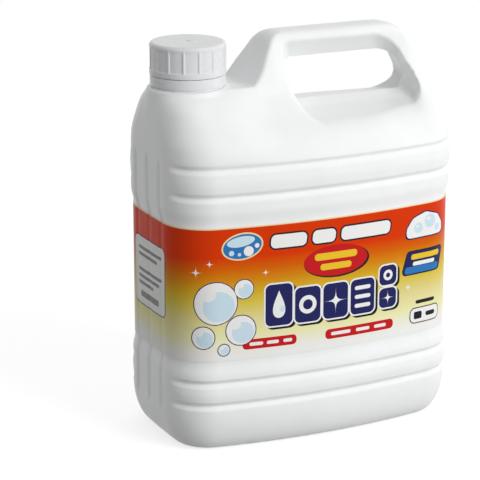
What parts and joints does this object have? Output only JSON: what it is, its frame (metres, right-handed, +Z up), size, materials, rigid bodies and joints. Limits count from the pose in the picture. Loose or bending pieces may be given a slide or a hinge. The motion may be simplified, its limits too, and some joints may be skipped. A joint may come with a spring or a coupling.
{
  "type": "dish soap jug",
  "caption": "Blow-moulded jug with a through handle, grooved body, wrap label, tamper band and a ribbed screw cap that turns and rises on its thread.",
  "frame": {"origin": "centre of the base on the floor, under the middle of the body", "axes": "+Z up, -Y out of the label's front, +X towards the handle, -X towards the neck"},
  "size_m": [0.2, 0.116, 0.2565],
  "materials": {
    "bottle_hdpe": "blow-moulded satin white",
    "label_film": "printed film, satin",
    "cap_pp": "injection-moulded semi-gloss white",
    "liner_foam": "pressed foam wad"
  },
  "bodies": {
    "jug": {"bottle": "bottle_hdpe", "label": "label_film", "tamper_band": "cap_pp"},
    "wad": {"cap_liner": "liner_foam"},
    "closure": {"cap": "cap_pp"}
  },
  "joints": [
    {"name": "cap_rise", "type": "slide", "parent": "jug", "child": "wad", "axis": [0, 0, 1], "range_m": [0, 0.0075]},
    {"name": "cap_turn", "type": "hinge", "parent": "wad", "child": "closure", "pos_m": [-0.0716, 0, 0.244], "axis": [0, 0, 1], "range_deg": [0, 540]}
  ],
  "couplings": [
    {"joint": "cap_turn", "follows": "cap_rise", "rad_per_m": 1256.6}
  ]
}
